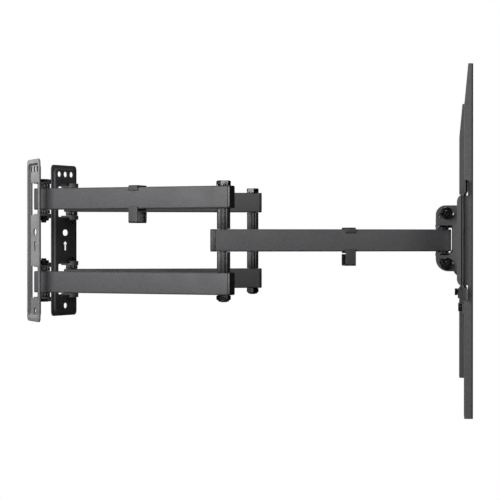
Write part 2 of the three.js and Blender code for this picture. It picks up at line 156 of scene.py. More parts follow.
def rounded(width, height, radius, centre=(0, 0), steps=8):
    """A rectangle's outline with round corners."""
    u, v = width / 2 - radius, height / 2 - radius
    corners = [(u, v, 0), (-u, v, 90), (-u, -v, 180), (u, -v, 270)]
    points = []
    for across, up, start in corners:
        points += arc((centre[0] + across, centre[1] + up), radius, start, start + 90, steps)
    return points


def prism(outline, low, high, axis="Z", holes=()):
    """A sheet or bar: a flat outline with holes, given thickness along an axis."""
    order = {"X": (2, 0, 1), "Y": (0, 2, 1), "Z": (0, 1, 2)}[axis]
    bm = bmesh.new()
    rims = []
    for loop in (outline, *holes):
        ends = []
        for level in (low, high):
            ends.append([bm.verts.new([(u, v, level)[k] for k in order]) for u, v in loop])
        rims.append(ends)
        for i in range(len(loop)):
            bm.faces.new((ends[0][i - 1], ends[0][i], ends[1][i], ends[1][i - 1]))
    for end in (0, 1):
        edges = [bm.edges.get((rim[end][i - 1], rim[end][i])) for rim in rims for i in range(len(rim[end]))]
        bmesh.ops.triangle_fill(bm, use_beauty=True, edges=edges)
    bmesh.ops.recalc_face_normals(bm, faces=bm.faces)
    return bm


def loft(loops, closed=True, capped=False):
    """A skin through loops of the same number of points, closed on itself or capped at its ends."""
    bm = bmesh.new()
    rows = [[bm.verts.new(p) for p in loop] for loop in loops]
    pairs = list(zip(rows, rows[1:] + rows[:1])) if closed else list(zip(rows, rows[1:]))
    for a, b in pairs:
        for i in range(len(a)):
            bm.faces.new((a[i - 1], a[i], b[i], b[i - 1]))
    if capped:
        bm.faces.new(rows[0])
        bm.faces.new(rows[-1])
    bmesh.ops.recalc_face_normals(bm, faces=bm.faces)
    return bm


def upright(point, turn=0.0):
    """Millimetres about a point of the frame, turned about the vertical by an angle in radians."""
    return Matrix.Translation(point) @ Matrix.Rotation(turn, 4, "Z") @ Matrix.Scale(MM, 4)


def absorb(whole, part):
    """Moves one part's faces into another."""
    scrap = bpy.data.meshes.new("scrap")
    part.to_mesh(scrap)
    part.free()
    whole.from_mesh(scrap)
    bpy.data.meshes.remove(scrap)


def make(name, parts, at, edge=0.45, material=powder_coat):
    """Joins closed parts, each made in millimetres, into one piece with softened edges."""
    mesh = bpy.data.meshes.new(name)
    whole = bmesh.new()
    for part in parts:
        absorb(whole, part)
    whole.to_mesh(mesh)
    whole.free()
    piece = bpy.data.objects.new(name, mesh)
    link(piece)
    if edge:
        bevel = piece.modifiers.new("softened edges", "BEVEL")
        bevel.width = edge
        bevel.segments = 2
        bevel.limit_method = "ANGLE"
        bevel.angle_limit = math.radians(38)
        bevel.use_clamp_overlap = True
        mesh.shade_smooth()
        piece.modifiers.new("flat faces stay flat", "WEIGHTED_NORMAL").keep_sharp = True
        dg = bpy.context.evaluated_depsgraph_get()
        rounded_mesh = bpy.data.meshes.new_from_object(piece.evaluated_get(dg))
        piece.modifiers.clear()
        piece.data = rounded_mesh
    piece.data.transform(at)
    piece.data.materials.clear()
    piece.data.materials.append(material)
    return piece


def smooth(piece, degrees=35):
    """Round faces shade as round, and edges sharper than this stay crisp."""
    piece.data.shade_smooth()
    piece.data.set_sharp_from_angle(angle=math.radians(degrees))
    return piece


def hand_over(piece, body, slot, *nodes):
    """The piece rides on its body and stands for its CAD nodes."""
    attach(piece, body)
    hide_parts(*nodes)


PLATE = {"width": 63, "height": 227, "corner": 6, "sheet": 2.0, "stand_off": 15.5}
PLATE |= {"panel": 4.5, "panel_corner": 7.0, "flat_rim": 4.0, "rim": 9.0}
OVAL = {"width": 9, "height": 8.5, "radius": 4.2, "low": -98.5, "high": 99.7, "apart": 15}
MIDDLE_SLOT = {"width": 14, "height": 9, "radius": 4.4, "up": 11.7}
ARROW = {"head": 5.5, "stem": 2.6, "length": 15}
WINDOW = {"half": 18, "corner": 2.2, "hold": 1}
EAR = {"radius": 10.2, "sheet": 2.8, "inner": 34.5, "outer": 79.3, "bend": 3.2, "let_in": 1.0}
LIP = {"height": 3.4, "sheet": 2.2, "let_in": 0.6}
HINGE_BORE = 4.35


def stepped_rim():
    """The rim and the step up to the panel, a ring left open inside, from inset and height pairs."""
    sheet = PLATE["sheet"]
    front = [(0, 0.5), (0, sheet - 0.5), (0.5, sheet), (3.8, sheet)]
    front += [(4.8, 2.3), (5.5, 2.9), (6.2, 4.0), (7.0, 4.4), (PLATE["rim"], PLATE["panel"])]
    back = [(0.5, 0), (5.4, 0), (6.3, 0.4), (6.9, 1.2), (7.6, 2.1), (8.4, 2.4)]
    back.append((PLATE["rim"], PLATE["panel"] - sheet))
    skins = []
    for inset, x in [*reversed(front), *back]:
        corner = PLATE["corner"] if inset < PLATE["flat_rim"] else PLATE["panel_corner"]
        flat = rounded(PLATE["width"] - 2 * inset, PLATE["height"] - 2 * inset, corner)
        skins.append([(x, y, z) for y, z in flat])
    return loft(skins, closed=False), [(y, z) for _, y, z in skins[0]]


def punched_panel(outline):
    """The raised panel inside the step, with every hole that is punched in it."""
    head, stem, length = ARROW["head"], ARROW["stem"], ARROW["length"]
    arrow = [(0, 0), (-head, -head), (-stem, -head), (-stem, -length)]
    arrow += [(stem, -length), (stem, -head), (head, -head)]

    def hole(size, across, up):
        return rounded(size["width"], size["height"], size["radius"], (across, up))

    holes = [hole(MIDDLE_SLOT, 0, MIDDLE_SLOT["up"]), hole(OVAL, 0, OVAL["low"]), arrow]
    holes += [hole(OVAL, y, OVAL["high"]) for y in (-OVAL["apart"], 0, OVAL["apart"])]
    low, high = EAR["inner"] + WINDOW["hold"], EAR["outer"] + EAR["sheet"] - WINDOW["hold"]
    for up in LEVELS.values():
        middle = (0, up * (low + high) / 2)
        holes.append(rounded(2 * WINDOW["half"], high - low, WINDOW["corner"], middle, 4))
    panel = prism(outline, PLATE["panel"] - PLATE["sheet"], PLATE["panel"], "X", holes)
    across, up = (PLATE[key] / 2 - PLATE["rim"] - 0.1 for key in ("width", "height"))
    edge = [f for f in panel.faces if all((abs(v.co.y) > across or abs(v.co.z) > up) for v in f.verts)]
    edge = [f for f in edge if abs(f.normal.x) < 0.5]
    bmesh.ops.delete(panel, geom=edge, context="FACES_ONLY")
    return panel


def folded_ear(low, outward):
    """One ear: a round-ended tongue with a turned lip, and the bend where it leaves the panel."""
    stand, radius = PLATE["stand_off"], EAR["radius"]
    root = PLATE["panel"] - EAR["let_in"]
    tongue = [(root, -radius), *arc((stand, 0), radius, -90, 90, 24), (root, radius)]
    ear = prism(tongue, low, low + EAR["sheet"], "Z", [ring((stand, 0), HINGE_BORE)])
    inner = radius - LIP["sheet"]
    lip = [*arc((stand, 0), radius, -70, 70, 24), *arc((stand, 0), inner, 70, -70, 24)]
    face = low + EAR["sheet"] if outward > 0 else low
    reach = sorted([face - outward * LIP["let_in"], face + outward * LIP["height"]])
    x, bend = PLATE["panel"], EAR["bend"]
    fillet = [(root, face - outward), (root, face + outward * bend)]
    for angle in (0.0, 0.3, 0.6, 0.9, 1.2, math.pi / 2):
        fillet.append((x + bend - bend * math.cos(angle), face + outward * (bend - bend * math.sin(angle))))
    fillet.append((x + bend, face - outward))
    return [ear, prism(lip, *reach, "Z"), prism(fillet, -radius, radius, "Y")]


def wall_plate(name):
    """One plate, its back on the wall."""
    rim, outline = stepped_rim()
    pressed = punched_panel(outline)
    absorb(pressed, rim)
    bmesh.ops.remove_doubles(pressed, verts=pressed.verts, dist=0.01)
    bmesh.ops.recalc_face_normals(pressed, faces=pressed.faces)
    parts = [pressed]
    for up in LEVELS.values():
        for low, away in ((EAR["inner"], -1), (EAR["outer"], 1)):
            foot = low if up > 0 else -low - EAR["sheet"]
            parts += folded_ear(foot, up * away)
    outward = Vector(mounts[f"wall_plate_{name}_back"]["axis"])
    turn = math.atan2(-outward.y, -outward.x)
    at = upright(pins[f"{name}_wall_hinge"], turn) @ Matrix.Translation((-PLATE["stand_off"], 0, 0))
    return make(f"{name}_wall_plate", parts, at), turn


plate_turn = {}
for side in SIDES:
    plate, plate_turn[side] = wall_plate(side)
    hand_over(plate, f"wall_{side}", "powder_coat", f"wall_plate_{side}")

# ---- Hinge washers ----
# Ribbed spacer washers of black nylon, moulded in one piece, one above and one below each arm's end. They
# keep steel off steel and let the arms swing quietly.

# Injection moulded nylon: darker than the coat, with an even, slightly glossier skin and a faint grain. The
# grain is the mould's spark texture, drawn at 1.2 mm so that it shows.
MOULD_GRAIN = 1.2 * MM
nylon, tree, place = start_material("moulded_black_nylon")
grit = add(tree, "ShaderNodeTexNoise", {"Scale": 1 / MOULD_GRAIN, "Detail": 2.0}, {"Vector": place})
shade = add(tree, "ShaderNodeValToRGB", {}, {"Fac": grit.outputs["Fac"]})
shade.color_ramp.elements[0].position = 0.35
shade.color_ramp.elements[0].color = srgb("1c1c1d")
shade.color_ramp.elements[1].position = 0.65
shade.color_ramp.elements[1].color = srgb("232324")
sheen = add(
    tree,
    "ShaderNodeMapRange",
    {"From Min": 0.35, "From Max": 0.65, "To Min": 0.34, "To Max": 0.42},
    {"Value": grit.outputs["Fac"]},
)
dimples = {"Strength": 0.06, "Distance": 0.04 * MM}
dimple = add(tree, "ShaderNodeBump", dimples, {"Height": grit.outputs["Fac"]})
plastic = add(
    tree,
    "ShaderNodeBsdfPrincipled",
    {"IOR": 1.53},
    {
        "Base Color": shade.outputs["Color"],
        "Roughness": sheen.outputs["Result"],
        "Normal": dimple.outputs["Normal"],
    },
)
add(tree, "ShaderNodeOutputMaterial", {}, {"Surface": plastic.outputs["BSDF"]})


def open_tree(name, inputs):
    """A new geometry tree with number inputs and a material input, and its input sockets."""
    tree = bpy.data.node_groups.new(name, "GeometryNodeTree")
    tree.interface.new_socket("Geometry", in_out="OUTPUT", socket_type="NodeSocketGeometry")
    for label, value in inputs.items():
        tree.interface.new_socket(label, in_out="INPUT", socket_type="NodeSocketFloat").default_value = value
    tree.interface.new_socket("Material", in_out="INPUT", socket_type="NodeSocketMaterial")
    return tree, add(tree, "NodeGroupInput", {}, {}).outputs


def close_tree(tree, geometry, given):
    """Ends a tree with real geometry in its material."""
    real = add(tree, "GeometryNodeRealizeInstances", {}, {"Geometry": geometry})
    coated = add(
        tree, "GeometryNodeSetMaterial", {}, {"Geometry": real.outputs[0], "Material": given["Material"]}
    )
    add(tree, "NodeGroupOutput", {}, {"Geometry": coated.outputs["Geometry"]})
    return tree


def washer_tree():
    """Ribs round a ring: a rounded section swept round a circle, then drawn in between the ribs."""
    inputs = {"Radius": 9.0, "Bore": 4.3, "Height": 5.7, "Ribs": 12.0, "Groove": 1.1}
    tree, given = open_tree("ribbed_washer", inputs)
    total = add(tree, "ShaderNodeMath", {"operation": "ADD"}, {0: given["Radius"], 1: given["Bore"]})
    middle = add(tree, "ShaderNodeMath", {"operation": "MULTIPLY", 1: 0.5}, {0: total.outputs[0]})
    wall = add(tree, "ShaderNodeMath", {"operation": "SUBTRACT"}, {0: given["Radius"], 1: given["Bore"]})
    circle = add(tree, "GeometryNodeCurvePrimitiveCircle", {"Resolution": 144}, {"Radius": middle.outputs[0]})
    section = add(
        tree,
        "GeometryNodeCurvePrimitiveQuadrilateral",
        {},
        {"Width": wall.outputs[0], "Height": given["Height"]},
    )
    soft = add(
        tree,
        "GeometryNodeFilletCurve",
        {"mode": "POLY", "Count": 3, "Radius": 0.5},
        {"Curve": section.outputs["Curve"]},
    )
    sweep = add(
        tree,
        "GeometryNodeCurveToMesh",
        {},
        {"Curve": circle.outputs["Curve"], "Profile Curve": soft.outputs["Curve"]},
    )
    position = add(tree, "GeometryNodeInputPosition", {}, {})
    split = add(tree, "ShaderNodeSeparateXYZ", {}, {"Vector": position.outputs["Position"]})
    angle = add(
        tree, "ShaderNodeMath", {"operation": "ARCTAN2"}, {0: split.outputs["Y"], 1: split.outputs["X"]}
    )
    turns = add(tree, "ShaderNodeMath", {"operation": "MULTIPLY"}, {0: angle.outputs[0], 1: given["Ribs"]})
    wave = add(tree, "ShaderNodeMath", {"operation": "COSINE"}, {0: turns.outputs[0]})
    dip = add(tree, "ShaderNodeMath", {"operation": "MULTIPLY_ADD", 1: 0.5, 2: -0.5}, {0: wave.outputs[0]})
    depth = add(tree, "ShaderNodeMath", {"operation": "MULTIPLY"}, {0: dip.outputs[0], 1: given["Groove"]})
    flat = add(tree, "ShaderNodeCombineXYZ", {}, {"X": split.outputs["X"], "Y": split.outputs["Y"]})
    radial = add(tree, "ShaderNodeVectorMath", {"operation": "NORMALIZE"}, {0: flat.outputs["Vector"]})
    reach = add(tree, "ShaderNodeVectorMath", {"operation": "LENGTH"}, {0: flat.outputs["Vector"]})
    ends = {0: reach.outputs["Value"], 1: middle.outputs[0]}
    outer = add(tree, "ShaderNodeMath", {"operation": "GREATER_THAN"}, ends)
    shift = add(
        tree,
        "ShaderNodeVectorMath",
        {"operation": "SCALE"},
        {0: radial.outputs["Vector"], "Scale": depth.outputs[0]},
    )
    ribs = add(
        tree,
        "GeometryNodeSetPosition",
        {},
        {"Geometry": sweep.outputs["Mesh"], "Selection": outer.outputs[0], "Offset": shift.outputs["Vector"]},
    )
    return close_tree(tree, ribs.outputs["Geometry"], given)


def grow(name, tree, values, material):
    """The plain mesh object that a geometry tree makes from the given inputs, in millimetres."""
    carrier = bpy.data.objects.new("carrier", bpy.data.meshes.new("carrier"))
    link(carrier)
    modifier = carrier.modifiers.new("tree", "NODES")
    modifier.node_group = tree
    sockets = {s.name: s.identifier for s in tree.interface.items_tree if s.in_out == "INPUT"}
    for label, value in values.items():
        modifier[sockets[label]] = value
    modifier[sockets["Material"]] = material
    dg = bpy.context.evaluated_depsgraph_get()
    mesh = bpy.data.meshes.new_from_object(carrier.evaluated_get(dg))
    bpy.data.objects.remove(carrier)
    piece = bpy.data.objects.new(name, mesh)
    link(piece)
    return piece


ribbed = washer_tree()


M8_BORE, M10_BORE = 4.3, 5.3


def washer(name, node, centre, turn, body, bore=M8_BORE):
    """A ribbed washer or sleeve that fills the height of its CAD node."""
    low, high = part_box(node)
    size = {"Radius": 9.0, "Bore": bore, "Height": (high.z - low.z) / MM, "Ribs": 12.0, "Groove": 1.1}
    piece = grow(name, ribbed, size, nylon)
    smooth(piece, 50)
    point = Vector((centre.x, centre.y, (low.z + high.z) / 2))
    piece.data.transform(upright(point, turn))
    hand_over(piece, body, "black_plastic", node)


for side in SIDES:
    for level in LEVELS:
        for end in ("outer", "inner"):
            tag = f"{side}_{level}_{end}"
            hinge, turn = pins[f"{side}_wall_hinge"], plate_turn[side]
            washer(f"hinge_washer_ribbed_{tag}", f"hinge_washer_{tag}", hinge, turn, f"wall_{side}")

# ---- Hinge bolts and nuts ----
# M8 hex bolts, head outwards, through an ear, a washer, the arm's end, a washer and an ear, with a nut and
# the bolt's threaded tip on the inside. Cold headed steel with rolled threads, zinc plated and blackened.

# Black passivated zinc: a thin shiny metal skin with clouded patches, black but for bright glints.
PATCH = 6 * MM
zinc, tree, place = start_material("black_passivated_zinc")
patches = add(tree, "ShaderNodeTexNoise", {"Scale": 1 / PATCH, "Detail": 4.0}, {"Vector": place})
plating = add(tree, "ShaderNodeValToRGB", {}, {"Fac": patches.outputs["Fac"]})
plating.color_ramp.elements[0].position = 0.3
plating.color_ramp.elements[0].color = srgb("444446")
plating.color_ramp.elements[1].position = 0.7
plating.color_ramp.elements[1].color = srgb("606063")
polish = add(
    tree,
    "ShaderNodeMapRange",
    {"From Min": 0.3, "From Max": 0.7, "To Min": 0.14, "To Max": 0.24},
    {"Value": patches.outputs["Fac"]},
)
metal = add(
    tree,
    "ShaderNodeBsdfPrincipled",
    {"Metallic": 1.0},
    {"Base Color": plating.outputs["Color"], "Roughness": polish.outputs["Result"]},
)
add(tree, "ShaderNodeOutputMaterial", {}, {"Surface": metal.outputs["BSDF"]})


def lathe(profile, steps=48, closed=False):
    """A turned shape from radius and height pairs: a ring if it is closed, and else with flat ends."""
    loops = [[(x, y, z) for x, y in ring((0, 0), r, steps)] for r, z in profile]
    return loft(loops, closed=closed, capped=not closed)


def hexagon(flats, low, high, chamfer_top=True, chamfer_bottom=False, bore=0.0):
    """A hex head or nut between two heights, its corners turned off to the usual 30 degrees."""
    steps, half = 60, flats / 2
    circle = half * 0.97

    def corner(i):
        angle = math.radians(360 * i / steps)
        return half / math.cos((angle % math.radians(60)) - math.radians(30)), angle

    def loop(radius_of, height_of):
        points = []
        for i in range(steps):
            r, angle = corner(i)
            points.append((radius_of(r) * math.cos(angle), radius_of(r) * math.sin(angle), height_of(r)))
        return points

    def fall(chamfer):
        return lambda r: (r - circle) * math.tan(math.radians(30)) if chamfer else 0.0

    top, bottom = fall(chamfer_top), fall(chamfer_bottom)
    inner = bore if bore else 0.4
    loops = [
        loop(lambda r: inner, lambda r: high),
        loop(lambda r: circle, lambda r: high),
        loop(lambda r: r, lambda r: high - top(r)),
        loop(lambda r: r, lambda r: low + bottom(r)),
        loop(lambda r: circle, lambda r: low),
        loop(lambda r: inner, lambda r: low),
    ]
    return loft(loops, closed=bool(bore), capped=not bore)


def shank(radius, low, high, thread=0.0, pitch=1.25):
    """A bolt's shank pointing down, with rolled threads over its lowest stretch."""
    profile = [(radius - 0.9, low), (radius - 0.1, low + 0.8)]
    height = low + 0.8
    while height + pitch < low + thread:
        profile += [(radius - 0.68, height + pitch / 2), (radius, height + pitch)]
        height += pitch
    profile += [(radius, max(height, low + 1.2)), (radius, high)]
    return lathe(profile, 32)


def upside(up):
    """Turned over for a lower level, or left as it is."""
    return Matrix.Rotation(0.0 if up > 0 else math.pi, 4, "X")


M8 = {"radius": 4, "flats": 13}
HINGE_BOLT = {"tip": 25, "thread": 12, "head": 82.4, "top": 86, "nut": (27.7, 34.2)}

for side in SIDES:
    for level, up in LEVELS.items():
        tag = f"{side}_{level}"
        at = upright(pins[f"{side}_wall_hinge"], plate_turn[side]) @ upside(up)
        head = hexagon(M8["flats"], HINGE_BOLT["head"], HINGE_BOLT["top"])
        stem = shank(M8["radius"], HINGE_BOLT["tip"], HINGE_BOLT["top"] - 2, HINGE_BOLT["thread"])
        bolt = make(f"hinge_bolt_m8_{tag}", [head, stem], at, 0, zinc)
        ring_nut = hexagon(M8["flats"], *HINGE_BOLT["nut"], True, True, M8_BORE)
        nut = make(f"hinge_nut_m8_{tag}", [ring_nut], at, 0, zinc)
        for piece, node in ((bolt, "hinge_bolt"), (nut, "hinge_nut")):
            hand_over(smooth(piece, 25), f"wall_{side}", "black_zinc", f"{node}_{tag}")

# ---- First arms and their end caps ----
# Four lengths of welded rectangular steel tube, 30 by 17 mm with a 1.8 mm wall, cut square, drilled for the
# hinge and the elbow, and powder coated. Each elbow end has a moulded cap pushed in flush with the tube.

TUBE = {"height": 30.0, "depth": 17.0, "wall": 1.8, "corner": 2.2}
OVERHANG = {"wall": 11.0, "first": 12.8, "second": 17.0, "head": 10.5}
CAP = {"first": 3.0, "second": 5.0}
arm_low, arm_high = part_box("first_arm_near_upper")
first_arm_height = (arm_low.z + arm_high.z) / 2


def tube(start, stop):
    """An arm lying along X, its two ends open and their rims softened."""
    wall, soft = TUBE["wall"], 0.35
    stations = [
        (start, soft),
        (start + soft, 0),
        (stop - soft, 0),
        (stop, soft),
        (stop, wall - soft),
        (stop - soft, wall),
        (start + soft, wall),
        (start, wall - soft),
    ]
    loops = []
    for x, inset in stations:
        corner = max(TUBE["corner"] - inset, 0.5)
        flat = rounded(TUBE["depth"] - 2 * inset, TUBE["height"] - 2 * inset, corner)
        loops.append([(x, y, z) for y, z in flat])
    return loft(loops)


def end_cap(face, way, thickness):
    """A cap at the end of a tube: a flush rim, a shallow dished face and a plug inside the tube."""
    root = face - way * thickness
    stations = [
        (root - way * 4.2, 2.4),
        (root, 2.3),
        (root, 0.3),
        (root + way * 0.3, 0.0),
        (face - way * 0.7, 0.0),
        (face - way * 0.15, 0.25),
        (face, 0.8),
        (face, 1.7),
        (face - way * 0.5, 2.2),
        (face - way * 0.6, 6.0),
    ]
    loops = []
    for x, inset in stations:
        corner = max(TUBE["corner"] - inset, 0.6)
        flat = rounded(TUBE["depth"] - 2 * inset, TUBE["height"] - 2 * inset, corner)
        loops.append([(x, y, z) for y, z in flat])
    return loft(loops, closed=False, capped=True)


def along(start, stop):
    """Millimetres about one pivot, with X towards another, and the distance between them."""
    way = stop - start
    return upright(start, math.atan2(way.y, way.x)), way.length / MM


for side in SIDES:
    at, length = along(pins[f"{side}_wall_hinge"], pins[f"{side}_elbow"])
    face = length + OVERHANG["first"]
    for level, up in LEVELS.items():
        tag = f"{side}_{level}"
        lift = at @ Matrix.Translation((0, 0, up * first_arm_height / MM))
        cap_start = face - CAP["first"]
        arm = make(f"first_arm_tube_{tag}", [tube(-OVERHANG["wall"], cap_start - GAP)], lift, 0)
        hand_over(smooth(arm), f"first_{side}", "powder_coat", f"first_arm_{tag}")
        cap = make(f"first_arm_end_cap_{tag}", [end_cap(face, 1, CAP["first"])], lift, 0, nylon)
        hand_over(smooth(cap), f"first_{side}", "black_plastic", f"first_arm_cap_{tag}")

# ---- Elbows ----
# One long M10 bolt holds each elbow: head, upper arm, ribbed nylon sleeve, second arm, sleeve, lower arm and
# a nut with a nylon collar. The sleeves are moulded like the hinge washers, only longer.

M10 = {"radius": 5, "flats": 17, "pitch": 1.5, "head": 6.6, "tip": -82.5, "thread": 14}

for side in SIDES:
    at, _ = along(pins[f"{side}_elbow"], pins[f"{side}_head_pivot"])
    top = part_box(f"elbow_bolt_{side}")[1].z / MM
    under = top - M10["head"]
    head = hexagon(M10["flats"], under, top)
    flange = lathe([(9.2, under), (9.2, under + 1.0), (8.2, under + 1.6)], 48)
    stem = shank(M10["radius"], M10["tip"], top - 4, M10["thread"], M10["pitch"])
    bolt = make(f"elbow_bolt_m10_{side}", [head, flange, stem], at, 0, zinc)
    low, high = (corner.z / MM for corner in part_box(f"elbow_nut_{side}"))
    collar = [(M10_BORE, low + 3), (M10_BORE, low), (6.6, low), (7.4, low + 0.8), (7.5, low + 3)]
    nut_parts = [hexagon(M10["flats"], low + 1.9, high, True, True, M10_BORE), lathe(collar, 48, True)]
    nut = make(f"elbow_nut_m10_{side}", nut_parts, at, 0, zinc)
    for piece, node in ((bolt, f"elbow_bolt_{side}"), (nut, f"elbow_nut_{side}")):
        hand_over(smooth(piece, 25), f"first_{side}", "black_zinc", node)
    elbow = pins[f"{side}_elbow"]
    first = elbow - pins[f"{side}_wall_hinge"]
    turn = math.atan2(first.y, first.x)
    for level in LEVELS:
        sleeve, node = f"elbow_sleeve_ribbed_{side}_{level}", f"elbow_spacer_{side}_{level}"
        washer(sleeve, node, elbow, turn, f"first_{side}", M10_BORE)

# ---- Second arms and their end caps ----
# One length of the same tube on each side, from the elbow to the head, with a cap at the elbow end.

for side in SIDES:
    at, length = along(pins[f"{side}_elbow"], pins[f"{side}_head_pivot"])
    cap_start = -OVERHANG["second"] + CAP["second"]
    arm = make(f"second_arm_tube_{side}", [tube(cap_start + GAP, length + OVERHANG["head"])], at, 0)
    hand_over(smooth(arm), f"second_{side}", "powder_coat", f"second_arm_{side}")
    plug = end_cap(-OVERHANG["second"], -1, CAP["second"])
    cap = make(f"second_arm_end_cap_{side}", [plug], at, 0, nylon)
    hand_over(smooth(cap), f"second_{side}", "black_plastic", f"second_arm_cap_{side}")

# ---- Cable clips ----
# Two springy clips of moulded nylon. Each snaps over an arm from above, hooks under it, and hangs an open
# loop below for the television's cables.

CLIP = {"length": 14, "wall": 2, "drop": 17, "room": 6.5, "bend": 1.4, "tab": 6.2, "hook": 4.4, "mouth": 1.3}


def bent(path, radius, steps=6):
    """A path with its inner corners rounded, as a sheet or strip is bent."""
    points = [Vector(path[0])]
    for before, at, after in zip(path, path[1:], path[2:]):
        a, b, c = Vector(before), Vector(at), Vector(after)
        into, out = (b - a).normalized(), (c - b).normalized()
        turn = into.angle_signed(out)
        setback = abs(radius * math.tan(turn / 2))
        start, stop = b - into * setback, b + out * setback
        for i in range(steps + 1):
            t = i / steps
            points.append(start * (1 - t) ** 2 + b * 2 * t * (1 - t) + stop * t**2)
    points.append(Vector(path[-1]))
    return points


def strip(path, thickness):
    """The outline of a strip of even thickness along a path."""
    left, right = [], []
    for i, point in enumerate(path):
        before = path[max(i - 1, 0)]
        after = path[min(i + 1, len(path) - 1)]
        way = (after - before).normalized()
        side = Vector((-way.y, way.x)) * thickness / 2
        left.append(tuple(point + side))
        right.append(tuple(point - side))
    return left + right[::-1]


def cable_clip(name, arm, body, node):
    """A clip whose place along its arm is its CAD node's."""
    at, _ = along(*arm)
    low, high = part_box(node)
    middle = (low + high) / 2
    distance = (at.inverted() @ Vector((middle.x, middle.y, 0))).x
    arm_middle = high.z / MM - TUBE["height"] / 2 - CLIP["wall"] - GAP
    front = -TUBE["depth"] / 2 - GAP - CLIP["wall"] / 2
    back = -front + CLIP["room"]
    top = TUBE["height"] / 2 + GAP + CLIP["wall"] / 2
    foot = -top - CLIP["drop"]
    upper = [(front, top - CLIP["tab"]), (front, top), (back, top), (back, -top), (front, -top)]
    lower = [(front, -top + CLIP["hook"]), (front, foot), (back, foot)]
    lower.append((back, -top - CLIP["wall"] / 2 - CLIP["mouth"]))
    half = CLIP["length"] / 2
    strips = [strip(bent(path, CLIP["bend"]), CLIP["wall"]) for path in (upper, lower)]
    parts = [prism(outline, -half, half, "X") for outline in strips]
    spot = at @ Matrix.Translation((distance, 0, arm_middle))
    hand_over(make(name, parts, spot, 0.5, nylon), body, "black_plastic", node)


near_arm = (pins["near_wall_hinge"], pins["near_elbow"])
cable_clip("cable_clip_on_first_arm", near_arm, "first_near", "cable_clip_first")
near_arm = (pins["near_elbow"], pins["near_head_pivot"])
cable_clip("cable_clip_on_second_arm", near_arm, "second_near", "cable_clip_second")

# ---- Head yoke ----
# A pressed and folded bracket of 2.4 mm steel that joins the two sides. Its level ears hold the upright
# pivots and its four end cheeks hold the tilt bolts. Powder coated.

YOKE = {"web": 586.0, "sheet": 2.4, "half_web": 20.9, "cheek_radius": 9.5, "cheek_sweep": 131}
YOKE |= {"ear_low": 18.1, "ear_sheet": 2.8, "ear_radius": 9.5, "ear_half": 17}
YOKE_SLOTS = {"width": 22, "height": 9, "radius": 4.4, "across": (-40, 0, 40)}
CHEEK_Y = 112.0
TILT_BOLT = {"x": 577.1, "upper": 36.4, "lower": -31.5}
BOLT_BORE = 4.35


def yoke_ear(side, up):
    """A level ear round one pivot."""
    x, y = pins["near_head_pivot"].x / MM, side * abs(pins["near_head_pivot"].y) / MM
    outline = [
        (YOKE["web"] + 0.5, y - YOKE["ear_half"]),
        (YOKE["web"] + 0.5, y + YOKE["ear_half"]),
        *arc((x, y), YOKE["ear_radius"], 90, 270, 24),
    ]
    low, high = sorted([up * YOKE["ear_low"], up * (YOKE["ear_low"] + YOKE["ear_sheet"])])
    return prism(outline, low, high, "Z", [ring((x, y), BOLT_BORE)])


def yoke_cheek(side, up, height):
    """An end cheek and the shelf that it is folded up from."""
    x, radius = TILT_BOLT["x"], YOKE["cheek_radius"]
    rim = arc((x, height), radius, 180, 180 - up * YOKE["cheek_sweep"], 20)
    foot = up * (YOKE["half_web"] - 0.4)
    front = YOKE["web"] + 1
    outline = [
        (x - radius, up * YOKE["ear_low"]),
        *rim,
        (rim[-1][0], foot),
        (front, foot),
        (front, up * YOKE["ear_low"]),
    ]
    low, high = sorted([side * (CHEEK_Y - YOKE["sheet"] - GAP), side * (CHEEK_Y - GAP)])
    cheek = prism(outline, low, high, "Y", [ring((x, height), BOLT_BORE)])
    reach = sorted([side * (abs(pins["near_head_pivot"].y) / MM + 6), side * (CHEEK_Y - GAP)])
    shelf = [(x - radius, reach[0]), (front - 0.5, reach[0]), (front - 0.5, reach[1]), (x - radius, reach[1])]
    levels = sorted([up * YOKE["ear_low"], up * (YOKE["ear_low"] + YOKE["ear_sheet"])])
    return [cheek, prism(shelf, *levels, "Z")]


half = CHEEK_Y - GAP
web = rounded(2 * half, 2 * YOKE["half_web"], 1.0, steps=3)
slot = YOKE_SLOTS["width"], YOKE_SLOTS["height"], YOKE_SLOTS["radius"]
slots = [rounded(*slot, (y, 0)) for y in YOKE_SLOTS["across"]]
parts = [prism(web, YOKE["web"], YOKE["web"] + YOKE["sheet"], "X", slots)]
for side in SIDES.values():
    for level, up in LEVELS.items():
        parts.append(yoke_ear(side, up))
        parts += yoke_cheek(side, up, TILT_BOLT[level])
yoke = make("folded_head_yoke", parts, Matrix.Scale(MM, 4))
hand_over(yoke, "head", "powder_coat", "head_yoke")

# ---- Head pivots ----
# An M8 bolt and nut stand upright through each pair of ears and a second arm's end, with a thin ribbed
# washer above and below the arm.

PIVOT = {"head": 4.6, "nut": 6.4, "tip": 8, "thread": 9}

for side in SIDES:
    at = upright(pins[f"{side}_head_pivot"])
    ear = YOKE["ear_low"] + YOKE["ear_sheet"] + GAP
    parts = [
        hexagon(M8["flats"], ear, ear + PIVOT["head"]),
        shank(M8["radius"], -ear - PIVOT["tip"], ear + 2, PIVOT["thread"]),
        hexagon(M8["flats"], -ear - PIVOT["nut"], -ear, True, True),
    ]
    bolt = make(f"head_pivot_bolt_{side}", parts, at, 0, zinc)
    hand_over(smooth(bolt, 25), "head", "black_zinc", f"head_bolt_{side}")
    for level in LEVELS:
        node = f"head_washer_{side}_{level}"
        washer(f"head_washer_ribbed_{side}_{level}", node, pins[f"{side}_head_pivot"], 0.0, "head")

# ---- Tilt bracket ----
# Two C-shaped cheeks, open towards the wall so that the second arms can swing through them, joined by an
# upper and a lower strip. Cut and folded from 2.5 mm steel, with arc slots that the tilt bolts clamp.

